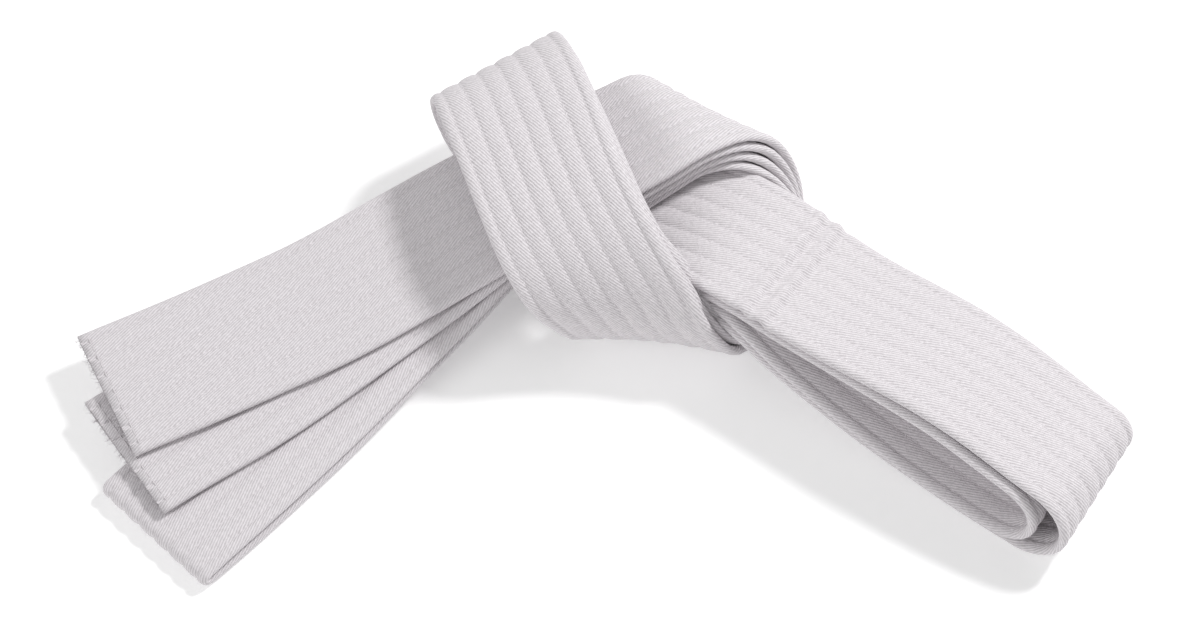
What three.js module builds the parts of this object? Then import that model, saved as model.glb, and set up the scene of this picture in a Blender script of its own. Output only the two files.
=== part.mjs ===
// Martial arts belt: one sewn strip of quilted cotton, folded in four and tied in one overhand knot.
// Millimetres, +Z up, lying on its flat side.
import * as THREE from 'three';

// ---- driving dimensions --------------------------------------------------------------------------
const WIDTH = 40;            // finished width of the belt
const THICK = 2.8;           // finished thickness over the smooth margins
const GAP = 0.3;             // air between two layers that lie on each other
const FIELD = 2.2;           // thickness of the quilted field, pressed in by the stitching
const ROWS = 7;              // lengthwise rows of lockstitch
const ROW_PITCH = 5.6;       // distance between two rows
const EDGE = 0.8;            // how far the edge roll narrows towards its outermost line
const MARGIN = 2.4;          // plain margin between the outermost row and the belt's edge
const POCKET = 1.1;          // height of the space that holds the padding
const CORE = 0.5;            // thickness of the padding strip
const THREAD_WIDE = 0.5;     // sewing thread, as it lies on the cloth
const THREAD_LOW = 1.15;     // its lowest and highest point above the middle of the belt
const THREAD_HIGH = 1.37;
const SEAM_INSET = 2.2;      // seam across a cut end, measured from that end
const THREAD_INSET = 4.5;    // where the lengthwise rows begin, measured from the cut end
const PITCH = THICK + GAP;   // one layer of the folded bundle

// ---- path of the folded bundle -------------------------------------------------------------------
// One row per place where the bundle of four layers changes direction, from the fanned tails on the
// left, through the knot, to the open loop on the right.
// x, y, z of the bundle's middle; yaw and pitch in degrees of its width direction; half of the hollow
// between the two upper and the two lower layers; how much that hollow opens across the width; slip
// of each layer past the next one across the width; slack between layers.
const PATH = [
  [-130, -27, 6.7, 116.5, 0, 0, 0, 0, 1],
  [-104, -14.2, 6.7, 116.5, 0, 0, 0, 0, 1],
  [-80, -2.5, 6.7, 116.5, 0, 0, 0, 0, 1],
  [-48, 13, 13, 116.5, 0, 0, 0, 0, 2],
  [-22, 24, 24.5, 116.5, -5, 0, 0, 0, 0],
  [-4, 33, 30, 117, -12, 0, 0, 0, 0],
  [10, 40.5, 33.5, 118, -14, 0, 0, 0, 0],
  [19.5, 45.5, 36, 124, -17, 0, 0, 0, 0],
  [27.5, 49.5, 33, 134, -21, 0, 0, 0, 0],
  [33.5, 50, 24, 148, -21, 0, 0, 0, 0],
  [38, 45.5, 14.5, 160, -13, 0, 0, 0, 0],
  [39, 36, 7.5, 166, -4, 0, 0, 0, 0],
  [36, 24, 6.5, 164, 0, 0, 0, 0, 0],
  [27, 7.5, 6.5, 152, 0, 0, 0, 0, 0],
  [21.5, -1.5, 8, 154, -3, 0, 0, 0, 0],
  [16, -8, 13, 162, -11, 0, 0, 0, 0.3],
  [10, -11, 19.5, 173, -20, 0, 0, 0, 0.3],
  [5.5, -9, 27.5, 184, -23, 0, 0, 0, 0.3],
  [0.5, -6, 36, 194, -21, 0, 0, 0, 0],
  [-4.5, -1, 43.5, 201, -21, 0, 0, 0.7, 0],
  [-12, 13, 48, 204, -21, 0, 0, 1, 0],
  [-20.5, 38.5, 43.5, 203, -13, 0, 0, 1, 0],
  [-23.5, 48, 38.5, 205, -10, 0, 0, 0.5, 0],
  [-25.5, 55.5, 31, 209, -10, 0, 0, 0, 0],
  [-25.5, 58.5, 23.5, 213, -10, 0, 0, 0, 0],
  [-23, 58, 16, 219, -8, 0, 0, 0, 0],
  [-18.5, 54.5, 10.5, 223, -7, 0, 0, 0, 0],
  [-13, 49, 9, 224, -5, 0, 0, 0, 0],
  [8.5, 30, 21, 229, -10, 0, 0, 0, 0],
  [37, 15, 27, 233, 3, 0, 0, 0, 0],
  [60.5, -3, 22, 236, 6, 4, 0.06, 0, 0],
  [90, -26, 16.5, 238, 5, 9.5, 0.09, 0, 0],
  [120, -48, 12.3, 230, 5, 5.5, 0.14, 0, 0],
];
// places along the path, in row numbers, where a cross-section is set
const STATIONS = [0, 1, 3, 4, 6, 7.5, 8.5, 9.5, 10.5, 13, 14.3, 15.3, 16.5, 18.5, 21, 22.7, 24.1, 25.6,
  27.6, 29, 30.3, 32];
const SLACK = [1.2, 0.4, -0.2, -0.6];     // extra height of layers 0 to 3 where they are slack
const FAN = [0, 8.8, 19.5, 19.5];         // degrees each layer is turned out on the left
const FAN_PIVOT = new THREE.Vector2(-21, 0);
const FAN_END = 4;                        // row where the layers lie on each other again
const FAN_START = 3.4;                    // row below which they are fully turned

const rad = THREE.MathUtils.degToRad;
const widthDir = (yaw, pitch) => new THREE.Vector3(
  Math.cos(rad(pitch)) * Math.cos(rad(yaw)), Math.cos(rad(pitch)) * Math.sin(rad(yaw)), Math.sin(rad(pitch)));
const curve = new THREE.CatmullRomCurve3(
  PATH.map(r => new THREE.Vector3(r[0], r[1], r[2])), false, 'centripetal');

// middle of the bundle at path row t: place, direction of travel, width direction and upward normal
function bundleAt(t) {
  const i = Math.min(Math.floor(t), PATH.length - 2), u = t - i;
  const a = PATH[i], b = PATH[i + 1];
  const mix = k => THREE.MathUtils.lerp(a[k], b[k], u);
  const T = curve.getTangent(t / (PATH.length - 1));
  const W = widthDir(a[3], a[4]).lerp(widthDir(b[3], b[4]), u).normalize();
  const N = T.clone().cross(W).normalize();
  return { t, P: curve.getPoint(t / (PATH.length - 1)), T, W, N,
    hollow: mix(5), open: mix(6), slip: mix(7), slack: mix(8) };
}

// middle surface of layer i (0 on top of the left tail, 3 at its bottom)
function layerAt(q, i) {
  const side = i < 2 ? 1 : -1;
  const off = (1.5 - i) * PITCH + side * q.hollow + q.slack * SLACK[i];
  const P = q.P.clone().addScaledVector(q.N, off).addScaledVector(q.W, -i * q.slip);
  const W = q.W.clone().addScaledVector(q.N, side * q.open).normalize();
  const N = q.T.clone().cross(W).normalize();
  const f = THREE.MathUtils.smoothstep(FAN_END - q.t, 0, FAN_END - FAN_START);
  const pivot = new THREE.Vector3(FAN_PIVOT.x, FAN_PIVOT.y, 0), up = new THREE.Vector3(0, 0, 1);
  P.sub(pivot).applyAxisAngle(up, rad(FAN[i] * f)).add(pivot);
  W.applyAxisAngle(up, rad(FAN[i] * f));
  N.applyAxisAngle(up, rad(FAN[i] * f));
  return { P, W, N, forward: true };
}

// half turn that joins two layers; the sections go from direction `from` by way of `out`
function turn(M, R, from, out, W, open, facing, steps) {
  const list = [];
  for (let j = 1; j < steps; j++) {
    const a = Math.PI * j / steps;
    const r = from.clone().multiplyScalar(Math.cos(a)).addScaledVector(out, Math.sin(a));
    list.push({ P: M.clone().addScaledVector(r, R), W: W.clone().addScaledVector(r, open).normalize(),
      N: r.clone().multiplyScalar(facing), forward: true });
  }
  return list;
}

// ---- the strip, from cut end A to cut end B ------------------------------------------------------
const bundle = STATIONS.map(bundleAt);
const layer = [0, 1, 2, 3].map(i => bundle.map(q => layerAt(q, i)));
const back = list => list.map(s => ({ P: s.P, W: s.W, N: s.N.clone().negate(), forward: false })).reverse();
const tip = bundle[bundle.length - 1];
const down = tip.N.clone().negate();
const outerLoop = turn(tip.P, 1.5 * PITCH + tip.hollow, tip.N, tip.T, tip.W, tip.open, 1, 4);
const innerLoop = turn(tip.P, 0.5 * PITCH + tip.hollow, down, tip.T, tip.W, tip.open, -1, 4);
const low = layer[3][0], high = layer[2][0];
const foldUp = high.P.clone().sub(low.P);
const foldOut = high.P.clone().sub(layer[2][1].P);
foldOut.addScaledVector(high.N, -foldOut.dot(high.N)).normalize();
const leftFold = turn(low.P.clone().add(high.P).multiplyScalar(0.5), foldUp.length() / 2,
  foldUp.clone().normalize().negate(), foldOut, high.W, 0, 1, 3);
const strip = [...layer[0], ...outerLoop, ...back(layer[3]), ...leftFold, ...layer[2], ...innerLoop,
  ...back(layer[1])];

// ---- cross-sections: x across the width, y through the thickness ---------------------------------
const rows = Array.from({ length: ROWS }, (_, k) => (k - (ROWS - 1) / 2) * ROW_PITCH);
const v2 = (x, y) => new THREE.Vector2(x, y);
// closed outline through all rows at height +-y, its outermost points moved out to +-x
function padOutline(x, y) {
  const line = rows.map((w, k) => (k === 0 ? -x : k === ROWS - 1 ? x : w));
  return [...line.map(w => v2(w, -y)), ...line.slice().reverse().map(w => v2(w, y))];
}
function coverOutline() {
  const half = WIDTH / 2, pad = padOutline(rows[ROWS - 1], FIELD / 2), y = THICK / 2;
  const right = [v2(half - MARGIN, -y), v2(half - EDGE, -y), v2(half, 0), v2(half - EDGE, y),
    v2(half - MARGIN, y)];
  const left = right.map(p => v2(-p.x, -p.y));
  return [...pad.slice(0, ROWS), ...right, ...pad.slice(ROWS), ...left];
}
const threadOutline = (w, side) => [v2(w - side * THREAD_WIDE / 2, side * THREAD_HIGH),
  v2(w, side * THREAD_LOW), v2(w + side * THREAD_WIDE / 2, side * THREAD_HIGH)];

// sweeps an outline, with an optional hollow, along a list of sections into one closed body
function sweep(sections, outline, hollow = []) {
  const position = [], index = [], ring = outline.length + hollow.length;
  for (const s of sections) {
    for (const p of [...outline, ...hollow]) {
      position.push(...s.P.clone().addScaledVector(s.W, p.x).addScaledVector(s.N, p.y).toArray());
    }
  }
  const wall = (first, count, inward) => {
    const loop = [...outline, ...hollow].slice(first, first + count);
    for (let s = 0; s + 1 < sections.length; s++) {
      for (let k = 0; k < count; k++) {
        const k2 = (k + 1) % count;
        const a = s * ring + first + k, b = s * ring + first + k2, c = b + ring, d = a + ring;
        // the diagonal always climbs the same way across the belt, so that stacked layers nest
        const climbs = (loop[k2].x > loop[k].x) === sections[s + 1].forward;
        const tris = climbs ? [a, b, c, a, c, d] : [a, b, d, b, c, d];
        index.push(...(inward ? tris.reverse() : tris));
      }
    }
  };
  wall(0, outline.length, false);
  if (hollow.length) wall(outline.length, hollow.length, true);
  const last = (sections.length - 1) * ring;
  for (const [a, b, c] of THREE.ShapeUtils.triangulateShape(outline, hollow.length ? [hollow] : [])) {
    index.push(a, c, b, last + a, last + b, last + c);
  }
  const geometry = new THREE.BufferGeometry();
  geometry.setAttribute('position', new THREE.Float32BufferAttribute(position, 3));
  geometry.setIndex(index);
  geometry.computeVertexNormals();
  return geometry;
}

// section part of the way between two others
function between(a, b, u) {
  return { P: a.P.clone().lerp(b.P, u), W: a.W.clone().lerp(b.W, u).normalize(),
    N: a.N.clone().lerp(b.N, u).normalize(), forward: b.forward };
}
const atEnd = (inset, end) => {
  const a = end === 'a' ? strip[0] : strip[strip.length - 1];
  const b = end === 'a' ? strip[1] : strip[strip.length - 2];
  return between(a, b, inset / a.P.distanceTo(b.P));
};
// the same strip, shortened by an inset at both cut ends
const shortened = inset => [atEnd(inset, 'a'), ...strip.slice(1, -1), atEnd(inset, 'b')];

// ---- pieces --------------------------------------------------------------------------------------
const group = new THREE.Group();
group.name = 'martial_arts_belt';
function add(name, geometry, color, roughness) {
  const mesh = new THREE.Mesh(geometry, new THREE.MeshStandardMaterial({ color, roughness, metalness: 0 }));
  mesh.name = name;
  group.add(mesh);
}

add('cover_cloth', sweep(strip, coverOutline(), padOutline(rows[ROWS - 1] + 0.4, POCKET / 2)), 0xe8e6ea, 0.9);
add('core_padding', sweep(shortened(0.5), padOutline(rows[ROWS - 1] - 0.4, CORE / 2)), 0xdedbd6, 0.95);
for (let k = 0; k < ROWS; k++) {
  add(`needle_thread_${k + 1}`, sweep(shortened(THREAD_INSET), threadOutline(rows[k], 1)), 0xf3f2f4, 0.7);
  add(`bobbin_thread_${k + 1}`, sweep(shortened(THREAD_INSET), threadOutline(rows[k], -1)), 0xf0eff1, 0.7);
}
for (const end of ['a', 'b']) {
  const s = atEnd(SEAM_INSET, end);
  const reach = rows[ROWS - 1] - 0.4;
  for (const [kind, side] of [['needle', 1], ['bobbin', -1]]) {
    // a short prism across the belt: its own sections run along the width
    const T = s.W.clone().cross(s.N);
    const across = [-reach, reach].map(w => ({ P: s.P.clone().addScaledVector(s.W, w), W: T.clone().negate(),
      N: s.N, forward: true }));
    add(`end_seam_${end}_${kind}`, sweep(across, threadOutline(0, side)), 0xf0eff1, 0.7);
  }
}

// ---- origin: middle of the footprint, on the surface the belt lies on -----------------------------
const box = new THREE.Box3().setFromObject(group);
const middle = box.getCenter(new THREE.Vector3());
for (const mesh of group.children) mesh.geometry.translate(-middle.x, -middle.y, -box.min.z);

export default group;
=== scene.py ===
# %% [markdown]
# # A martial arts belt, folded in four and tied in one knot
#
# The real thing is a single sewn strip: white cotton twill folded round a cotton core and quilted by
# seven rows of lockstitch. It was folded to four layers, and the bundle was tied in one overhand
# knot. Here we build that strip once, as a long swept surface with its own UV map in metres, so the
# weave, the stitches and the quilting all follow the cloth through the knot.

# %% load the frame
import bpy, math
import numpy as np
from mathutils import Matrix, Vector


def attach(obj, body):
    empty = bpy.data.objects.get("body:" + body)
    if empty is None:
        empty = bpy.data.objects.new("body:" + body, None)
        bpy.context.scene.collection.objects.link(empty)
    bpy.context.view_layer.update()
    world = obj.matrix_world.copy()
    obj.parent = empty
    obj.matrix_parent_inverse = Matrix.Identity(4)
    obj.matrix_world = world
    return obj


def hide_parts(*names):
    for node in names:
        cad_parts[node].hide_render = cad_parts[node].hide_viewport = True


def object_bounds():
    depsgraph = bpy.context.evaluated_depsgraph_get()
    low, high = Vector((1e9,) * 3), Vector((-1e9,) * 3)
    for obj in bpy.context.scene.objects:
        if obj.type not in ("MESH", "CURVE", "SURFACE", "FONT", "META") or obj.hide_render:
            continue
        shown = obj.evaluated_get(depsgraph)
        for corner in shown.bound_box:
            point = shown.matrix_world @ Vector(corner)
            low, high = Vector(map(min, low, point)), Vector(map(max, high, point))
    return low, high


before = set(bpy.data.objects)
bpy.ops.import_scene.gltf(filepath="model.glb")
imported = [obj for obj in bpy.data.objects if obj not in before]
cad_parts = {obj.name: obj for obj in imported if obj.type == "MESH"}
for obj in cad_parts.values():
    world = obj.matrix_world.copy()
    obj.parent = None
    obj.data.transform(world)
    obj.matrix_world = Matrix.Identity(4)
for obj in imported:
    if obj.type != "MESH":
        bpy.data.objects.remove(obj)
cad_low, cad_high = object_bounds()
for o in bpy.context.selected_objects:
    o.select_set(False)
MM = 0.001
print("nodes:", len(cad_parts), "box (m):", [round(v, 4) for v in cad_high - cad_low])

# %% [markdown]
# ## The path of the bundle
#
# A folded belt bends as one bundle of four layers, so it is enough to say where the middle of the
# bundle goes. Each row below is a place along it, in millimetres: x, y, z, then the yaw and pitch
# of the width direction in degrees, half of the hollow between the two upper and the two lower
# layers, how much that hollow opens across the width, how far each layer slips sideways past the
# next, and how slack the layers lie on each other. A smooth curve through these rows is simpler to
# correct than a cloth simulation of the same knot. The rows started as the rounded output of a small
# program that pushed the layers apart, and most of them were then moved one by one.

# %% the path
PATH = np.array([
    [-130, -27, 6.7, 116.5, 0, 0, 0, 0, 1],
    [-104, -14.2, 6.7, 116.5, 0, 0, 0, 0, 1],
    [-80, -2, 8, 116.5, 0, 0, 0, 0, 1],
    [-48, 14.7, 13.6, 116.5, 0, 0, 0, 0, 1.6],
    [-22, 26.2, 23.3, 116.5, -4, 0, 0, 0, 0],
    [-4, 33, 28.5, 117, -11, 0, 0, -0.4, 0],
    [10, 39.7, 31.3, 118, -14, 0, 0, -0.9, 0],
    [19, 43.6, 33.3, 124, -17, 0, 0, -1.1, 0],
    [25.6, 45.4, 31, 134, -20, 0, 0, -0.9, 0],
    [30.5, 45, 24, 148, -20, 0, 0, -0.4, 0],
    [34.3, 41, 15.5, 160, -12, 0, 0, 0, 0],
    [36, 34, 8.3, 166, -3, 0, 0, 0, 0],
    [35, 24.5, 6.4, 164, 0, 0, 0, 0, 0],
    [27.5, 10.2, 6.4, 152, 0, 0, 0, 0, 0],
    [22, 1.8, 8, 154, -3, 0, 0, 0, 0],
    [16.3, -3.8, 12.7, 162, -11, 0, 0, 0, 0.3],
    [10.2, -5.8, 18.5, 173, -19, 0, 0, 0, 0.3],
    [5.2, -4.2, 25.5, 184, -21, 0, 0, 0, 0.3],
    [-0.6, -1.6, 33, 194, -20, 0, 0, 0, 0],
    [-5.8, 3.6, 40, 201, -19, 0, 0, 0.1, 0],
    [-12.5, 17, 45.5, 204, -18, 0, 0, 0.15, 0],
    [-21, 41.5, 42.5, 203, -10, 0, 0, 0.15, 0],
    [-24, 52, 38.5, 205, -7, 0, 0, 0.1, 0],
    [-26, 59.5, 31.5, 209, -7, 0, 0, 0, 0],
    [-26, 62, 23.5, 213, -7, 0, 0, 0, 0],
    [-23.5, 60.5, 15.5, 219, -5, 0, 0, 0, 0],
    [-18.5, 55.5, 9.8, 223, -3, 0, 0, 0, 0],
    [-13, 48.5, 7.4, 224, -2, 0, 0, 0, 0],
    [8.5, 28, 19.5, 229, -7, 0, 0, 0, 0],
    [37.2, 11, 25, 233, 4, 0, 0, 0, 0],
    [60.7, -6, 20, 236, 6, 3.2, 0.06, 0, 0],
    [90.2, -27, 16.2, 238, 5, 8, 0.09, 0, 0],
    [120, -48.4, 12.2, 230, 5, 5.5, 0.14, 0, 0],
], float)
WIDTH, THICK, GAP = 40.0, 2.8, 0.3        # belt width and thickness, air between two layers
PITCH = THICK + GAP                       # height of one layer in the bundle
SLACK = (0.5, 0.2, -0.1, -0.3)            # extra height of layers 0 to 3 where they lie slack
FAN = (0.0, 8.8, 19.5, 19.5)              # degrees that each layer is turned out on the left
FAN_PIVOT = np.array([-21.0, 0.0, 0.0])
FAN_END, FAN_START = 4.0, 3.4             # rows between which the turning grows to its full amount
STEP, FINE_STEP = 3.2, 0.95               # distance between cross-sections, and at the creases, mm
CREASED_ROW = 29                          # the creases lie after this row


def unit(v):
    return v / np.linalg.norm(v, axis=-1, keepdims=True)


# chord lengths to the power 0.5 give the curve no loops or overshoot where rows come close
knots = np.concatenate([[0], np.cumsum(np.linalg.norm(np.diff(PATH[:, :3], axis=0), axis=1) ** 0.5)])


def catmull(values, t):
    """Value and slope of a Catmull-Rom curve through the rows, at row number t."""
    n = len(values)
    i = min(int(t), n - 2)
    u, s = t - i, knots
    p1, p2, s1, s2 = values[i], values[i + 1], s[i], s[i + 1]
    p0, s0 = (values[i - 1], s[i - 1]) if i > 0 else (2 * p1 - p2, 2 * s1 - s2)
    p3, s3 = (values[i + 2], s[i + 2]) if i + 2 < n else (2 * p2 - p1, 2 * s2 - s1)
    m1 = ((p1 - p0) / (s1 - s0) - (p2 - p0) / (s2 - s0) + (p2 - p1) / (s2 - s1)) * (s2 - s1)
    m2 = ((p2 - p1) / (s2 - s1) - (p3 - p1) / (s3 - s1) + (p3 - p2) / (s3 - s2)) * (s2 - s1)
    at = ((2 * u**3 - 3 * u * u + 1) * p1 + (u**3 - 2 * u * u + u) * m1
          + (3 * u * u - 2 * u**3) * p2 + (u**3 - u * u) * m2)
    slope = ((6 * u * u - 6 * u) * (p1 - p2) + (3 * u * u - 4 * u + 1) * m1 + (3 * u * u - 2 * u) * m2)
    return at, slope


def width_direction(yaw, pitch):
    y, p = math.radians(yaw), math.radians(pitch)
    return np.array([math.cos(p) * math.cos(y), math.cos(p) * math.sin(y), math.sin(p)])


places = [0.0]
for i in range(len(PATH) - 1):
    step = FINE_STEP if i == CREASED_ROW else STEP
    pieces_here = max(2, math.ceil(np.linalg.norm(PATH[i + 1, :3] - PATH[i, :3]) / step))
    places += [i + (j + 1) / pieces_here for j in range(pieces_here)]
bundle = []
for t in places:
    row, slope = catmull(PATH, t)
    T, W = unit(slope[:3]), width_direction(row[3], row[4])
    bundle.append(dict(t=t, P=row[:3], T=T, W=W, N=unit(np.cross(T, W)), hollow=max(row[5], 0.0),
                       opening=row[6], slip=row[7], slack=row[8]))
print("sections along the bundle:", len(bundle))

# %% [markdown]
# ## From the bundle to the strip
#
# Layer 0 lies on top of the left tail and layer 3 under it. The strip starts at its first cut end,
# runs along layer 0, turns back round the open loop on the right into layer 3, folds on the left
# into layer 2, turns round the inner loop into layer 1 and ends at the second cut end. We place the
# layers next to each other and join them by half circles, as the cloth itself does.

# %% layers, loops and the whole strip
INNER_OUT, INNER_SHORT = 1.3, 2           # the inner loop stands out to the front; sections it is short
INNER_FROM, INNER_OVER = 28.7, 2.2        # row where it starts to stand out, and over how many rows
OUTER_STEPS, INNER_STEPS, FOLD_STEPS = 14, 12, 8     # steps round the two loops and the left fold


def ease(x):
    x = min(max(x, 0.0), 1.0)
    return x * x * (3 - 2 * x)


def layer_sections(i):
    side = 1 if i < 2 else -1
    P, W, N = [], [], []
    for q in bundle[:-INNER_SHORT] if i in (1, 2) else bundle:
        off = (1.5 - i) * PITCH + side * q["hollow"] + q["slack"] * SLACK[i]
        p = q["P"] + off * q["N"] - i * q["slip"] * q["W"]
        w = unit(q["W"] + side * q["opening"] * q["N"])
        n = unit(np.cross(q["T"], w))
        if i in (1, 2):
            p = p + w * INNER_OUT * ease((q["t"] - INNER_FROM) / INNER_OVER)
        a = math.radians(FAN[i]) * ease((FAN_END - q["t"]) / (FAN_END - FAN_START))
        turn_out = np.array([[math.cos(a), -math.sin(a), 0], [math.sin(a), math.cos(a), 0], [0, 0, 1]])
        P.append(turn_out @ (p - FAN_PIVOT) + FAN_PIVOT)
        W.append(turn_out @ w)
        N.append(turn_out @ n)
    return np.array(P), np.array(W), np.array(N)


def half_turn(centre, radius, start, outward, W, opening, facing, steps):
    """Sections of the half circle that joins two layers."""
    a = np.pi * np.arange(1, steps) / steps
    r = np.outer(np.cos(a), start) + np.outer(np.sin(a), outward)
    return centre + radius * r, unit(W + opening * r), facing * r


def backwards(layer):
    P, W, N = layer
    return P[::-1], W[::-1], -N[::-1]


layer = [layer_sections(i) for i in range(4)]
tip, inner_tip = bundle[-1], bundle[-1 - INNER_SHORT]
outer_loop = half_turn(tip["P"], 1.5 * PITCH + tip["hollow"], tip["N"], tip["T"], tip["W"],
                       tip["opening"], 1, OUTER_STEPS)
inner_loop = half_turn(inner_tip["P"] + inner_tip["W"] * INNER_OUT, 0.5 * PITCH + inner_tip["hollow"],
                       -inner_tip["N"], inner_tip["T"], inner_tip["W"], inner_tip["opening"],
                       -1, INNER_STEPS)
low_end, high_end = layer[3][0][0], layer[2][0][0]
fold_up = high_end - low_end
fold_out = layer[2][0][0] - layer[2][0][1]
fold_out = unit(fold_out - (fold_out @ layer[2][2][0]) * layer[2][2][0])
left_fold = half_turn((low_end + high_end) / 2, np.linalg.norm(fold_up) / 2, -unit(fold_up), fold_out,
                      layer[2][1][0], 0.0, 1, FOLD_STEPS)
chain = [layer[0], outer_loop, backwards(layer[3]), left_fold, layer[2], inner_loop, backwards(layer[1])]
P, W, N = (np.concatenate([part[k] for part in chain]) for k in range(3))
LENGTH = np.concatenate([[0], np.cumsum(np.linalg.norm(np.diff(P, axis=0), axis=1))])
parts_start = np.cumsum([0] + [len(part[0]) for part in chain])
print("sections along the strip:", len(P), "belt length (mm):", round(float(LENGTH[-1])))

# %% [markdown]
# ## Life in the cloth
#
# Cloth is never laid perfectly. Slow waves of a few tenths of a millimetre lift the layers, the
# edges wander sideways by half a millimetre, and two soft creases, each a ridge beside a dip, cross
# the right leg where the belt was folded in its packet. The waves are sums of sines with fixed seeds,
# so every run gives the same belt.

# %% small irregularities
def wave(s, seed, longest, count=5):
    """Smooth noise along the belt, between about -1 and 1."""
    rng = np.random.default_rng(seed)
    total = np.zeros_like(s)
    for k in range(count):
        length = longest / (1.0 + k * 0.7)
        total += np.sin(2 * np.pi * s / length + rng.uniform(0, 2 * np.pi)) / (1 + k)
    return total / 1.8


EDGE_WANDER, EDGE_SEED, EDGE_WAVE = 0.55, 3, 170.0   # sideways: size in mm, seed, longest wave in mm
LIFT, LIFT_SEED, LIFT_WAVE = 0.12, 8, 60.0           # the same, up and down
P = P + W * (EDGE_WANDER * wave(LENGTH, EDGE_SEED, EDGE_WAVE))[:, None]
P = P + N * (LIFT * wave(LENGTH, LIFT_SEED, LIFT_WAVE))[:, None]

# creases: (distance along the right leg from the loop's tip in mm, height in mm, half width in mm)
CREASES = ((91.0, 0.8, 1.5), (88.2, -0.6, 1.5), (85.4, 0.9, 1.5), (82.6, -0.6, 1.5))
leg_from = LENGTH[parts_start[2]]
for along, height, half in CREASES:
    P = P + N * (height * np.exp(-((LENGTH - leg_from - along) / half) ** 2))[:, None]

# the strip's own frame becomes the row frame: middle of the footprint, lowest point at the floor
reach = np.concatenate([P + W * WIDTH / 2 + N * THICK / 2, P - W * WIDTH / 2 + N * THICK / 2,
                        P + W * WIDTH / 2 - N * THICK / 2, P - W * WIDTH / 2 - N * THICK / 2])
own_low, own_high = reach.min(0), reach.max(0)
cad_lo_mm, cad_hi_mm = np.array(cad_low) / MM, np.array(cad_high) / MM
SHIFT = np.array([*((cad_lo_mm + cad_hi_mm - own_low - own_high) / 2)[:2], cad_lo_mm[2] - own_low[2]])
P = P + SHIFT
print("moved by (mm):", SHIFT.round(2))

# %% [markdown]
# ## The cover
#
# The cover is a flat tube of twill. Between two rows of stitching the padding swells it into a low
# rib, and each row pulls it down into a narrow valley. Outside the outermost rows lies a plain
# margin that rounds off to the folded edge. We write this outline once, as a height over the width,
# and sweep it along the strip. The tube is open at both ends and holds the padding, as in the CAD.

# %% cross-section of the belt
ROWS, ROW_PITCH = 7, 5.6
ROW_AT = (np.arange(ROWS) - (ROWS - 1) / 2) * ROW_PITCH
CROWN, VALLEY, EDGE_ROLL = 1.42, 0.86, 2.2    # half thickness on a rib, in a valley; width of the roll
RIB_FULL, MARGIN_FULL, ROLL_FULL = 2.6, 2.4, 2.3     # how full each curve is; 2 would be round
MARGIN_RISE, MARGIN_SUNK = 1.1, 0.05      # width over which the margin rises, how far below a rib
ON_RIB = np.array([0, 0.08, 0.24, 0.5, 0.76, 0.92])          # points of a rib, as shares of the pitch
ON_MARGIN = np.array([0.45, 1.0, 1.7, 2.3, 2.75, 3.05])      # points past the outermost row, mm
POCKET_WIDE, POCKET_HIGH = 34.8, 1.24     # the hollow inside the cover
CORE_WIDE, CORE_HIGH = 33.8, 1.0          # the padding that lies in it
FLAT_POINTS = 5                           # points along each long side of these two
PADDING_INSET = 0.6                       # from the cut to the end of the padding


def half_height(w):
    """Half thickness of the belt at distance w from its middle line."""
    w = np.abs(w)
    x = np.abs((w / ROW_PITCH + 0.5) % 1.0 - 0.5) * 2          # 0 on a row, 1 on top of a rib
    rib = VALLEY + (CROWN - VALLEY) * (1 - (1 - x) ** RIB_FULL)
    outside = w > ROW_AT[-1]
    past = np.clip((w - ROW_AT[-1]) / MARGIN_RISE, 0, 1)
    margin_height = VALLEY + (CROWN - MARGIN_SUNK - VALLEY) * (1 - (1 - past) ** MARGIN_FULL)
    rib = np.where(outside, margin_height, rib)
    roll = np.clip((w - (WIDTH / 2 - EDGE_ROLL)) / EDGE_ROLL, 0, 1)
    return rib * np.sqrt(np.clip(1 - roll**ROLL_FULL, 0, 1))


across = np.concatenate([at + ROW_PITCH * ON_RIB for at in ROW_AT[:-1]] + [[ROW_AT[-1]]])
margin = ROW_AT[-1] + ON_MARGIN
across = np.concatenate([-margin[::-1], across, margin])
top = np.stack([across, half_height(across)], 1)
outline = np.concatenate([[[-WIDTH / 2, 0]], top * [1, -1], [[WIDTH / 2, 0]], top[::-1]])


def flat_outline(width, height, points):
    """A plain rectangle across the belt, with some points along its two long sides."""
    w = np.linspace(-width / 2, width / 2, points)
    return np.concatenate([np.stack([w, np.full(points, -height / 2)], 1),
                           np.stack([w[::-1], np.full(points, height / 2)], 1)])


pocket = flat_outline(POCKET_WIDE, POCKET_HIGH, FLAT_POINTS)
core = flat_outline(CORE_WIDE, CORE_HIGH, FLAT_POINTS)
print("points round the cover:", len(outline), "plus", len(pocket), "round its pocket")


# %% sweeping an outline into a mesh
def mesh_object(name, verts, faces):
    mesh = bpy.data.meshes.new(name)
    mesh.from_pydata(verts.tolist(), [], faces)
    mesh.validate()
    mesh.polygons.foreach_set("use_smooth", [True] * len(mesh.polygons))
    obj = bpy.data.objects.new(name, mesh)
    bpy.context.collection.objects.link(obj)
    return obj


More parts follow.
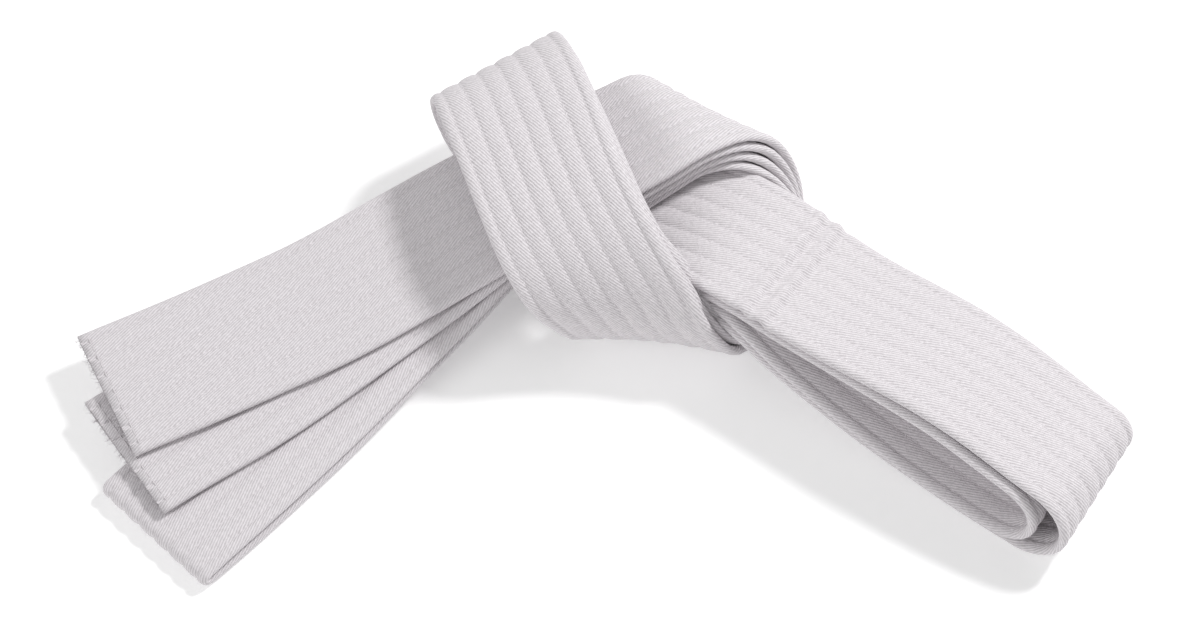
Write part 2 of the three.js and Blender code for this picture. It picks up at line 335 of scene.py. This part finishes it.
def sweep(name, P, W, N, s, outline, hollow=None):
    """Closed body along the strip; its UV map holds (way round the belt, along it) in metres."""
    rings = [outline] if hollow is None else [outline, hollow]
    ring = np.concatenate(rings)
    count, n = len(ring), len(P)
    verts = P[:, None] + W[:, None] * ring[None, :, :1] + N[:, None] * ring[None, :, 1:]
    verts = verts.reshape(-1, 3) * MM
    faces = []
    first = 0
    for r, line in enumerate(rings):
        m = len(line)
        a = first + np.arange(m)
        b = first + (np.arange(m) + 1) % m
        base = (np.arange(n - 1) * count)[:, None]
        quad = np.stack([base + a, base + b, base + b + count, base + a + count], -1).reshape(-1, 4)
        faces.append(quad if r == 0 else quad[:, ::-1])
        first += m
    ends = []
    if hollow is None:
        m = len(outline)
        half = m // 2
        for k in range(half - 1):
            ends.append((k, k + 1, m - 2 - k, m - 1 - k))
    else:
        # every point of the outer line is joined to the nearest point of the pocket's line
        m, h = len(outline), len(hollow)
        near = [int(np.argmin(np.linalg.norm(hollow - p, axis=1))) for p in outline]
        for k in range(m):
            k2 = (k + 1) % m
            a, b = near[k], near[k2]
            ends.append((k, k2, m + b) if a == b else (k, k2, m + b, m + a))
    last = (n - 1) * count
    caps = [tuple(e[::-1]) for e in ends] + [tuple(last + v for v in e) for e in ends]
    faces = np.concatenate(faces).tolist() + caps
    obj = mesh_object(name, verts, faces)
    # the map unrolls the cloth: across is the distance walked round the belt, along is its length
    uv = obj.data.uv_layers.new(name="cloth")
    m = len(outline)
    walk = np.concatenate([[0], np.cumsum(np.linalg.norm(np.roll(outline, -1, 0) - outline, axis=1))]) * MM
    index = np.empty(len(obj.data.loops), dtype=np.int32)
    obj.data.loops.foreach_get("vertex_index", index)
    corner = index % count
    u = np.where(corner < m, walk[np.minimum(corner, m - 1)], 0.0)
    wall = np.arange(len(index)) < 4 * m * (n - 1)
    # the last face of every ring closes the walk, so its far corners take the whole way round
    closing = wall & ((np.arange(len(index)) // 4) % m == m - 1) & (corner == 0)
    u = np.where(closing, walk[-1], u)
    uv.data.foreach_set("uv", np.stack([u, np.repeat(s, count)[index] * MM], 1).ravel())
    return obj


cover = sweep("belt_cover", P, W, N, LENGTH, outline, pocket)
inset = (LENGTH > PADDING_INSET) & (LENGTH < LENGTH[-1] - PADDING_INSET)
padding = sweep("belt_padding", P[inset], W[inset], N[inset], LENGTH[inset], core)
print("cover faces:", len(cover.data.polygons), "padding faces:", len(padding.data.polygons))

# %% [markdown]
# ## The stitches
#
# Seven rows of lockstitch run the whole length. On each face only short dashes of thread show: the
# needle thread on one face, the bobbin thread on the other. One stitch is about 3 mm long. We model
# a single dash as a thin spindle and set a copy at every stitch, with all copies of a row in one mesh.

# %% stitches
STITCH, DASH = 3.0, 2.3                    # stitch length and the part of it that shows, mm
THREAD_R = 0.17                            # the thread's radius, mm
PRESSED = 0.8                              # height of a thread over its width
SUNK = 0.01                                # how far a thread's middle lies below the valley
ROW_INSET = 4.6                            # from the cut to the first stitch
WANDER_ALONG, WANDER_ACROSS = 0.06, 0.05   # spread of the stitches' places, mm
SIDES = 6                                  # sides of a thread
# rings along one dash: place as a share of half its length, share of the radius, lift in radii
DASH_RINGS = np.array([(-1.0, 0.25, -0.55), (-0.72, 0.85, -0.1), (0.0, 1.0, 0.12), (0.72, 0.85, -0.1),
                       (1.0, 0.25, -0.55)])


def frame_at(s):
    """Place, direction, width and normal of the strip at distances s along it."""
    def lerp(A):
        return np.stack([np.interp(s, LENGTH, A[:, k]) for k in range(3)], 1)
    p, w, n = lerp(P), unit(lerp(W)), unit(lerp(N))
    return p, unit(np.cross(w, n)), w, n


def spindles(name, at, w, height, jitter):
    """A row of dashes: at = centres along the belt, w = place across it, height = above its middle."""
    angle = 2 * np.pi * np.arange(SIDES) / SIDES
    side = 1.0 if height > 0 else -1.0
    verts = []
    for shift, size, lift in DASH_RINGS:
        p, t, wd, n = frame_at(at + shift * DASH / 2)
        centre = p + wd * (w + jitter)[:, None] + n * (height + side * lift * THREAD_R)
        ring = (centre[:, None] + THREAD_R * size * (np.cos(angle)[None, :, None] * wd[:, None]
                + PRESSED * np.sin(angle)[None, :, None] * n[:, None]))
        verts.append(ring)
    verts = np.stack(verts, 1)                               # stitch, ring, side, xyz
    per = len(DASH_RINGS) * SIDES
    k, k2 = np.arange(SIDES), (np.arange(SIDES) + 1) % SIDES
    quads = np.concatenate([np.stack([j * SIDES + k, j * SIDES + k2, (j + 1) * SIDES + k2,
                                      (j + 1) * SIDES + k], 1) for j in range(len(DASH_RINGS) - 1)])
    first = np.arange(len(at)) * per
    walls = (first[:, None, None] + quads[None]).reshape(-1, 4).tolist()
    ends = [tuple(range(b, b + SIDES))[::-1] for b in first.tolist()]
    ends += [tuple(range(b + per - SIDES, b + per)) for b in first.tolist()]
    return mesh_object(name, verts.reshape(-1, 3) * MM, walls + ends)


rng = np.random.default_rng(11)
rows = {}
for k in range(ROWS):
    for kind, side in (("needle", 1), ("bobbin", -1)):
        start = ROW_INSET + rng.uniform(0, STITCH)
        at = np.arange(start, LENGTH[-1] - ROW_INSET, STITCH) + (0 if side > 0 else STITCH / 2)
        at = at + rng.normal(0, WANDER_ALONG, len(at))
        rows[kind, k + 1] = spindles(f"{kind}_row_{k + 1}", at, ROW_AT[k], side * (VALLEY - SUNK),
                                     rng.normal(0, WANDER_ACROSS, len(at)))
print("rows of stitches:", len(rows), "stitches in a row:", len(at))

# %% [markdown]
# ## The sewn ends
#
# Both ends of the strip are simply cut across and closed by a seam a few millimetres in. The cut
# itself frays: short warp fibres stick out of it. They are tiny bent prisms, placed at random
# across the cut, because a clean machined edge is the first thing that makes cloth look like plastic.

# %% end seams and frayed fibres
SEAM_INSET = 2.4                           # from the cut to the seam, mm
SEAM_REACH, SEAM_STITCH = 17.0, 2.8        # half the seam's width, and one of its stitches
SEAM_RINGS = ((-1, 0.3), (-0.7, 0.9), (0.7, 0.9), (1, 0.3))    # place along a stitch, share of radius
SEAM_PROUD, SEAM_DIVE = 0.10, -0.06        # height of a stitch's middle and of its tips over the cloth
FIBRES, FIBRE_REACH = 150, 19.4            # fibres at one end, and how far from the middle line
FIBRE_LONG, FIBRE_THIN = (0.5, 1.9), (0.05, 0.11)              # least and most, mm
FIBRE_LEAN, FIBRE_CURL = 0.35, 0.45        # spread of their slant and of their bend
FIBRE_ROOT = 0.35                          # how deep a fibre starts inside the cut, mm
FIBRE_TAPER = 0.55                         # share of its thickness that a fibre loses
THIRD_TURN = 2.0944                        # radians


def cross_spindles(name, s, side):
    """A row of stitches across the belt at distance s along it."""
    w = np.arange(-SEAM_REACH, SEAM_REACH + 0.1, SEAM_STITCH) + rng.uniform(-0.2, 0.2)
    p, t, wd, n = (a[0] for a in frame_at(np.array([s])))
    verts, faces = [], []
    for c in w:
        base = len(verts)
        for shift, size in SEAM_RINGS:
            x, r = c + shift * DASH / 2, THREAD_R * size
            lift = side * (float(half_height(x)) + (SEAM_DIVE if abs(shift) == 1 else SEAM_PROUD))
            for a in range(SIDES):
                q = (p + wd * x + t * (r * math.cos(a * math.pi / 3))
                     + n * (lift + PRESSED * r * math.sin(a * math.pi / 3)))
                verts.append(q * MM)
        last = base + (len(SEAM_RINGS) - 1) * SIDES
        for ring in range(base, last, SIDES):
            for a in range(SIDES):
                b = (a + 1) % SIDES
                faces.append((ring + a, ring + SIDES + a, ring + SIDES + b, ring + b))
        faces += [tuple(base + a for a in range(SIDES)), tuple(last + a for a in reversed(range(SIDES)))]
    return mesh_object(name, np.array(verts), faces)


def fibres(name, s, out, seed):
    """Short bent fibres round the cut at distance s; out is 1 or -1 along the belt."""
    r = np.random.default_rng(seed)
    p, t, wd, n = (a[0] for a in frame_at(np.array([s])))
    verts, faces = [], []
    for _ in range(FIBRES):
        x = r.uniform(-FIBRE_REACH, FIBRE_REACH)
        h = r.uniform(-0.95, 0.95) * float(half_height(x))
        long, thin = r.uniform(*FIBRE_LONG), r.uniform(*FIBRE_THIN)
        lean = r.normal(0, FIBRE_LEAN, 2)
        curl = r.normal(0, FIBRE_CURL, 2)
        base = len(verts)
        for j in range(4):
            f = j / 3
            c = (p + wd * (x + long * (lean[0] * f + curl[0] * f * f))
                 + n * (h + long * (lean[1] * f + curl[1] * f * f)) + t * (out * (long * f - FIBRE_ROOT)))
            size = thin * (1 - FIBRE_TAPER * f)
            for a in range(3):
                turn = a * THIRD_TURN
                verts.append((c + size * (wd * math.cos(turn) + n * math.sin(turn))) * MM)
        for j in range(3):
            for a in range(3):
                b = (a + 1) % 3
                quad = (base + j * 3 + a, base + j * 3 + b, base + j * 3 + 3 + b, base + j * 3 + 3 + a)
                faces.append(quad if out > 0 else quad[::-1])
        caps = [tuple(base + a for a in (2, 1, 0)), tuple(base + 9 + a for a in (0, 1, 2))]
        faces += caps if out > 0 else [c[::-1] for c in caps]
    return mesh_object(name, np.array(verts), faces)


seams = {}
for end, s, out, seed in (("a", 0.0, -1, 21), ("b", float(LENGTH[-1]), 1, 22)):
    inner = s - out * SEAM_INSET
    seams[end, "needle"] = cross_spindles(f"seam_{end}_needle", inner, 1)
    seams[end, "bobbin"] = cross_spindles(f"seam_{end}_bobbin", inner, -1)
    seams[end, "fray"] = fibres(f"frayed_end_{end}", s, out, seed)


def face_outwards(obj):
    """Turns the faces of closed bodies outwards."""
    for o in bpy.context.selected_objects:
        o.select_set(False)
    bpy.context.view_layer.objects.active = obj
    obj.select_set(True)
    bpy.ops.object.mode_set(mode="EDIT")
    bpy.ops.mesh.select_all(action="SELECT")
    bpy.ops.mesh.normals_make_consistent(inside=False)
    bpy.ops.object.mode_set(mode="OBJECT")
    obj.select_set(False)


threads = list(rows.values()) + list(seams.values())
for obj in threads + [cover, padding]:
    face_outwards(obj)
print("thread objects:", len(threads))

# %% [markdown]
# ## Materials
#
# Bleached cotton is nearly white, with the faintest lilac from the optical brightener. It is quite
# matt, with a little sheen from loose fibres. The twill is drawn with a wave texture turned against
# the strip's own UV map, so the diagonal follows the cloth round every bend.

# %% colours and a helper for nodes
def linear(hex_colour, alpha=1.0):
    """Blender's shaders want linear light; hex colours are sRGB."""
    c = [int(hex_colour[i:i + 2], 16) / 255 for i in (1, 3, 5)]
    return [v / 12.92 if v <= 0.04045 else ((v + 0.055) / 1.055) ** 2.4 for v in c] + [alpha]


def add(tree, kind, settings=None, links=None):
    """One node with its settings, its input values and its links."""
    node = tree.nodes.new(kind)
    for key, value in (settings or {}).items():
        if isinstance(key, int) or key in node.inputs:
            node.inputs[key].default_value = value
        else:
            setattr(node, key, value)
    for key, source in (links or {}).items():
        tree.links.new(source, node.inputs[key])
    return node


def new_material(name, base, roughness, sheen=0.0):
    material = bpy.data.materials.new(name)
    material.use_nodes = True
    shader = material.node_tree.nodes["Principled BSDF"]
    shader.inputs["Base Color"].default_value = linear(base)
    shader.inputs["Roughness"].default_value = roughness
    shader.inputs["Sheen Weight"].default_value = sheen
    shader.inputs["Sheen Roughness"].default_value = 0.5
    shader.inputs["Specular IOR Level"].default_value = 0.2
    return material, material.node_tree, shader


# %% cotton twill
# Bleached cotton twill: the weft yarns float over two or three warp yarns and each row of floats is
# moved by one yarn, which makes the diagonal rib, the wale. The wales are 0.7 mm apart here.
WALE, WALE_ANGLE = 0.00070, 24.0          # in metres, and degrees from the belt's length
BAND = 2 * math.pi / 20                   # width of one band of a wave texture at scale 1
COLOUR_A, COLOUR_B, COLOUR_OUT = 6, 7, 2  # the sockets of a Mix node that mixes colours
twill, tree, shader = new_material("bleached_cotton_twill", "#D8D3D6", 0.9, 0.1)
uv = add(tree, "ShaderNodeUVMap", {"uv_map": "cloth"})
turned = add(tree, "ShaderNodeMapping", {"Rotation": (0, 0, math.radians(-WALE_ANGLE))},
             {"Vector": uv.outputs["UV"]})
wales = add(tree, "ShaderNodeTexWave", {"wave_type": "BANDS", "bands_direction": "X",
            "Scale": BAND / WALE, "Distortion": 1.2, "Detail": 1.0, "Detail Scale": 1.2},
            {"Vector": turned.outputs["Vector"]})
yarns = add(tree, "ShaderNodeTexNoise", {"Scale": 1500.0, "Detail": 2.0, "Roughness": 0.6},
            {"Vector": uv.outputs["UV"]})
slub = add(tree, "ShaderNodeTexNoise", {"Scale": 900.0, "Detail": 2.0, "Roughness": 0.7},
           {"Vector": uv.outputs["UV"]})
height = add(tree, "ShaderNodeMath", {"operation": "MULTIPLY_ADD", 1: 0.75},
             {0: wales.outputs["Fac"], 2: yarns.outputs["Fac"]})
bump = add(tree, "ShaderNodeBump", {"Strength": 0.6, "Distance": 0.00022}, {"Height": height.outputs[0]})
tree.links.new(bump.outputs["Normal"], shader.inputs["Normal"])
# painted shade: the wale valleys are drawn darker as their shade; thick and thin yarns vary the colour
painted_wale_shade = add(tree, "ShaderNodeMath", {"operation": "MULTIPLY_ADD", 1: 0.5, 2: -0.1},
           {0: wales.outputs["Fac"]})
painted_shade_plus_slub = add(tree, "ShaderNodeMath", {"operation": "MULTIPLY_ADD", 1: 0.7},
            {0: slub.outputs["Fac"], 2: painted_wale_shade.outputs[0]})
twill_shade_and_slub_mix = add(tree, "ShaderNodeMix", {"data_type": "RGBA", "clamp_factor": True}, {"Factor": painted_shade_plus_slub.outputs[0]})
# dark end: painted shade of the wale valleys, mixed with the random colour of thin yarns
twill_shade_and_slub_mix.inputs[COLOUR_A].default_value = linear("#B6B1B4")
twill_shade_and_slub_mix.inputs[COLOUR_B].default_value = linear("#F2EEF1")
tree.links.new(twill_shade_and_slub_mix.outputs[COLOUR_OUT], shader.inputs["Base Color"])

# worn and pressed yarns shine a little more than the loose ones between them
rough = add(tree, "ShaderNodeMapRange", {"From Min": 0.3, "From Max": 0.7, "To Min": 0.78, "To Max": 0.98},
            {"Value": slub.outputs["Fac"]})
tree.links.new(rough.outputs["Result"], shader.inputs["Roughness"])

# %% sewing thread and padding
# Spun cotton sewing thread, bleached like the cloth but a little smoother and brighter.
thread, tree, shader = new_material("spun_cotton_thread", "#DAD6D9", 0.8, 0.1)
twist = add(tree, "ShaderNodeTexNoise", {"Scale": 2200.0, "Detail": 2.0},
            {"Vector": add(tree, "ShaderNodeTexCoord").outputs["Object"]})
twist_bump = add(tree, "ShaderNodeBump", {"Strength": 0.6, "Distance": 0.0001},
                 {"Height": twist.outputs["Fac"]})
tree.links.new(twist_bump.outputs["Normal"], shader.inputs["Normal"])
thread_tone = add(tree, "ShaderNodeMix", {"data_type": "RGBA"}, {"Factor": twist.outputs["Fac"]})
thread_tone.inputs[COLOUR_A].default_value = linear("#C4BFC2")
thread_tone.inputs[COLOUR_B].default_value = linear("#EDE9EC")
tree.links.new(thread_tone.outputs[COLOUR_OUT], shader.inputs["Base Color"])
# Unbleached cotton wadding, seen only at the two cut ends: greyer and quite rough.
wadding, tree, shader = new_material("cotton_wadding", "#BFB9B6", 0.95, 0.1)
fluff = add(tree, "ShaderNodeTexNoise", {"Scale": 900.0, "Detail": 3.0},
            {"Vector": add(tree, "ShaderNodeTexCoord").outputs["Object"]})
fluff_bump = add(tree, "ShaderNodeBump", {"Strength": 0.8, "Distance": 0.0004},
                 {"Height": fluff.outputs["Fac"]})
tree.links.new(fluff_bump.outputs["Normal"], shader.inputs["Normal"])
for obj, material in [(cover, twill), (padding, wadding)] + [(o, thread) for o in threads]:
    obj.data.materials.append(material)
print("materials:", [m.name for m in (twill, thread, wadding)])

# %% [markdown]
# ## Joining the pieces to the frame
#
# Every piece rides on the one body of the row, and the CAD node that it stands for is hidden. The
# cover is folded round the padding, so its cloth is twice as wide as the belt.

# %% frame
for obj in [cover, padding] + threads:
    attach(obj, "root")
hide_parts("cover_cloth")
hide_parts("core_padding")
for (kind, k), obj in rows.items():
    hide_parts(f"{kind}_thread_{k}")
for (end, kind), obj in seams.items():
    if kind == "fray":
        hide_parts("cover_cloth")
    else:
        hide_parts(f"end_seam_{end}_{kind}")

# %% [markdown]
# ## Floor, light and camera
#
# A white belt on a white floor is shown by its shadows alone. The key light is a small disk at the
# upper right, so that each rib throws a narrow shadow. A large fill from the left and a bright world
# keep those shadows open. Places are in metres and strengths in watts.

# %% stage
FLOOR_SIZE, FLOOR_GLOW, WORLD_LIGHT = 6.0, 0.22, 0.5
KEY_PLACE, KEY_SIZE, KEY_WATTS = (0.5, 0.29, 0.82), 0.16, 6.3
FILL_PLACE, FILL_SIZE, FILL_WATTS = (-0.75, -0.5, 0.75), 0.7, 3.2
LENS, SENSOR = 100.7, 36.0                # mm
CAMERA_UP, CAMERA_AWAY = 60.0, 0.9        # degrees above the floor, metres from the point it looks at
LOOK_AT = (-1.35, 4.8, 2.8)               # mm, in the path's own coordinates

bpy.ops.mesh.primitive_plane_add(size=FLOOR_SIZE, location=(0, 0, 0))
floor = bpy.context.object
floor.name = "floor"
# White acrylic lit a little from below, as product tables are: it keeps the shadows pale.
acrylic, tree, shader = new_material("lit_white_acrylic", "#F4F4F4", 1.0)
shader.inputs["Emission Color"].default_value = (1, 1, 1, 1)
shader.inputs["Emission Strength"].default_value = FLOOR_GLOW
floor.data.materials.append(acrylic)

world = bpy.data.worlds.new("studio")
bpy.context.scene.world = world
world.use_nodes = True
world.node_tree.nodes["Background"].inputs["Color"].default_value = (1.0, 1.0, 1.0, 1)
world.node_tree.nodes["Background"].inputs["Strength"].default_value = WORLD_LIGHT


def area_light(name, place, size, watts):
    """A round white lamp that points at the middle of the floor."""
    data = bpy.data.lights.new(name, "AREA")
    data.shape, data.size, data.energy = "DISK", size, watts
    lamp = bpy.data.objects.new(name, data)
    bpy.context.collection.objects.link(lamp)
    lamp.location = place
    lamp.rotation_euler = (-Vector(place)).to_track_quat("-Z", "Y").to_euler()


area_light("key", KEY_PLACE, KEY_SIZE, KEY_WATTS)
area_light("fill", FILL_PLACE, FILL_SIZE, FILL_WATTS)

camera_data = bpy.data.cameras.new("camera")
camera_data.lens, camera_data.sensor_width = LENS, SENSOR
camera = bpy.data.objects.new("camera", camera_data)
bpy.context.collection.objects.link(camera)
look_at = (Vector(LOOK_AT) + Vector(SHIFT.tolist())) * MM
up = math.radians(CAMERA_UP)
camera.location = look_at + CAMERA_AWAY * Vector((0, -math.cos(up), math.sin(up)))
camera.rotation_euler = (look_at - camera.location).to_track_quat("-Z", "Y").to_euler()
bpy.context.scene.camera = camera
bpy.context.scene.view_settings.view_transform = "Standard"

# %% the CAD box
print("cad box (mm):", [round(v * 1000, 1) for v in (*cad_low, *cad_high)])
